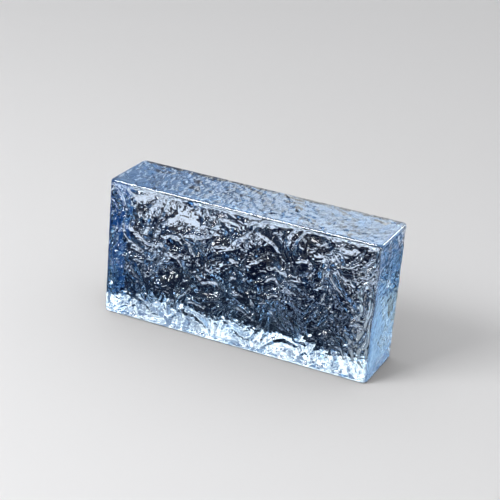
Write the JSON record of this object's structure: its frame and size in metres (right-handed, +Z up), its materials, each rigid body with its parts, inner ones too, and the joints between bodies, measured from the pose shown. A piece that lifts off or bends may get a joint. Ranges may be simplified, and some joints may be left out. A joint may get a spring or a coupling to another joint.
{
  "type": "glass block",
  "caption": "Solid cast glass block in pale blue, rippled all over, for laying in walls, screens and facades.",
  "frame": {"origin": "middle of the bed face that the block stands on", "axes": "+X along the length, +Y through the thickness, away from the viewer, +Z up along the height"},
  "size_m": [0.2, 0.05, 0.1],
  "materials": {
    "blue_glass": "clear pale blue cast glass, fire-polished, rippled like ice"
  },
  "bodies": {
    "root": {"glass_block": "blue_glass"}
  },
  "joints": []
}
